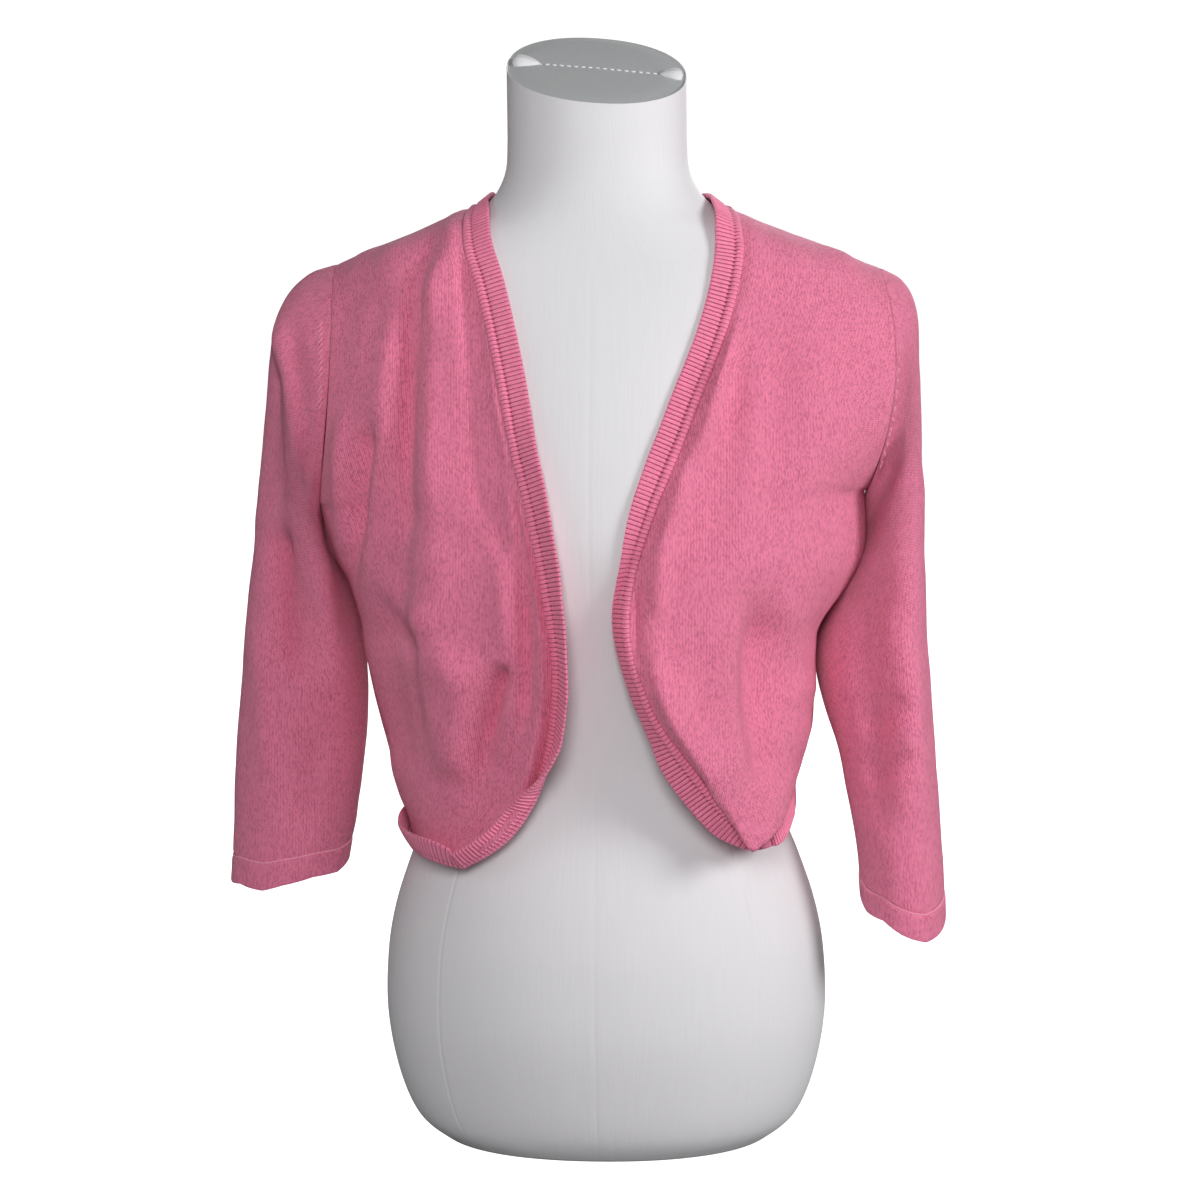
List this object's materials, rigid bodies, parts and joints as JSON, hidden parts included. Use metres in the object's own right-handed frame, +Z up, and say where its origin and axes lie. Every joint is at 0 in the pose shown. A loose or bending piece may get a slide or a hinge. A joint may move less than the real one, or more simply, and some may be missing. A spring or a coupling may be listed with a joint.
{
  "type": "knitted shrug on a dress form",
  "caption": "Open-front knitted shrug with three-quarter sleeves and a ribbed edge band, worn by a limbless dress form that stands on a flat base.",
  "frame": {"origin": "centre of the dress form's flat base, on the surface it stands on", "axes": "+Z up along the neck, +X the wearer's left, -Y the open front"},
  "size_m": [0.487, 0.2473, 0.7526],
  "materials": {
    "knit": "matte fine-gauge cotton stockinette with a light fuzz",
    "rib": "matte fine-gauge ribbed knit",
    "form_jersey": "matte white stretch jersey over a hard form",
    "form_cap": "matte grey-white jersey with one topstitched seam"
  },
  "bodies": {
    "root": {"form_body": "form_jersey", "form_cap": "form_cap", "back": "knit", "front_left": "knit", "front_right": "knit", "sleeve_left": "knit", "sleeve_right": "knit", "band_neck_back": "rib", "band_front_left": "rib", "band_front_right": "rib", "band_hem_back": "rib"}
  },
  "joints": []
}
